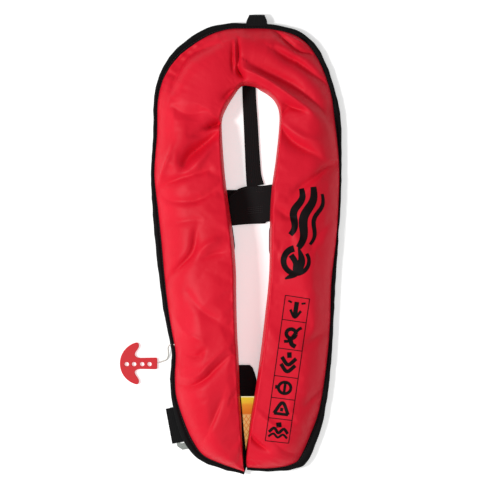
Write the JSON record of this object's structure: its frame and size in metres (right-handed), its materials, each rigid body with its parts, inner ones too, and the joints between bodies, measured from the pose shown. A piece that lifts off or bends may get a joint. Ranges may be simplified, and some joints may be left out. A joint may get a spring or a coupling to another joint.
{
  "type": "inflatable life jacket",
  "caption": "Packed horseshoe life jacket lying on its back, with a gas inflator, pull handle, oral tube, bladder and waist belt in and behind a closed nylon cover.",
  "frame": {"origin": "middle of the footprint, on the surface that the jacket lies on", "axes": "+Y towards the neck, +Z out of the front cover, +X towards the lobe without the pull handle"},
  "size_m": [0.3027, 0.626, 0.0529],
  "materials": {
    "red_nylon": "coated satin",
    "black_panel": "matte woven",
    "black_tape": "woven binding",
    "black_webbing": "woven webbing",
    "closure_tape": "hook and loop",
    "bladder_film": "coated film",
    "label_cloth": "printed cloth",
    "reflective_tape": "retroreflective",
    "cord": "braided",
    "red_plastic": "moulded satin",
    "black_plastic": "moulded",
    "yellow_plastic": "moulded",
    "orange_plastic": "moulded",
    "green_plastic": "moulded",
    "white_plastic": "pressed tablet",
    "steel": "stainless",
    "gas_steel": "zinc plated",
    "rubber": "matte"
  },
  "bodies": {
    "jacket": {"front_cover_left": "red_nylon", "front_cover_right": "red_nylon", "back_cover": "black_panel", "edge_binding": "black_tape", "closure_loop_strip": "closure_tape", "closure_hook_strip": "closure_tape", "bladder": "bladder_film", "reflective_patch_left": "reflective_tape", "reflective_patch_right": "reflective_tape", "valve_flange": "black_plastic", "valve_washer_lower": "rubber", "valve_washer_upper": "rubber", "valve_nut": "black_plastic", "inflator_body": "black_plastic", "lever_pin": "steel", "pin_spring": "steel", "bobbin": "white_plastic", "cylinder_gasket": "rubber", "oral_tube": "rubber", "oral_valve_body": "black_plastic", "poppet_spring": "steel", "whistle": "orange_plastic", "whistle_lanyard": "cord", "lifting_becket": "black_webbing", "yoke_sleeve": "black_panel", "belt_loop_left": "black_webbing", "belt_loop_right": "black_webbing", "belt_left": "black_webbing", "belt_right": "black_webbing", "belt_front_end": "black_webbing", "back_strap": "black_webbing", "hanging_loop": "black_webbing", "instruction_label": "label_cloth", "buckle_strap": "black_webbing", "buckle_plate": "steel"},
    "pull": {"pull_cord": "cord", "pull_handle": "red_plastic"},
    "lever_arm": {"lever": "black_plastic", "safety_clip": "green_plastic"},
    "striker": {"firing_pin": "steel"},
    "gas_cylinder": {"co2_cylinder": "gas_steel"},
    "bobbin_cover": {"bobbin_cap": "yellow_plastic"},
    "oral_cover": {"oral_cap": "yellow_plastic"},
    "oral_valve": {"oral_poppet": "red_plastic"},
    "slider": {"belt_slider": "black_plastic"}
  },
  "joints": [
    {"name": "handle_pull", "type": "slide", "parent": "jacket", "child": "pull", "axis": [-1, 0, 0], "range_m": [0, 0.028]},
    {"name": "lever_swing", "type": "hinge", "parent": "jacket", "child": "lever_arm", "pos_m": [-0.065, -0.122, 0.0245], "axis": [0, 0, -1], "range_deg": [0, 65]},
    {"name": "pin_strike", "type": "slide", "parent": "jacket", "child": "striker", "axis": [0, 1, 0], "range_m": [0, 0.003], "deforming": ["pin_spring"]},
    {"name": "cylinder_unscrew", "type": "hinge", "parent": "jacket", "child": "gas_cylinder", "pos_m": [-0.056, -0.05, 0.029], "axis": [0, 1, 0], "continuous": true},
    {"name": "bobbin_cap_unscrew", "type": "hinge", "parent": "jacket", "child": "bobbin_cover", "pos_m": [-0.056, -0.155, 0.029], "axis": [0, 1, 0], "continuous": true},
    {"name": "oral_cap_pull", "type": "slide", "parent": "jacket", "child": "oral_cover", "axis": [0, 1, 0], "range_m": [0, 0.02]},
    {"name": "oral_valve_press", "type": "slide", "parent": "jacket", "child": "oral_valve", "axis": [0, -1, 0], "range_m": [0, 0.003], "stiffness_N_per_m": 200, "deforming": ["poppet_spring"]},
    {"name": "slider_adjust", "type": "slide", "parent": "jacket", "child": "slider", "axis": [0, 1, 0], "range_m": [-0.04, 0.04]}
  ],
  "couplings": [
    {"joint": "lever_swing", "follows": "handle_pull", "rad_per_m": 40.5},
    {"joint": "pin_strike", "follows": "handle_pull", "ratio": 0.107}
  ]
}
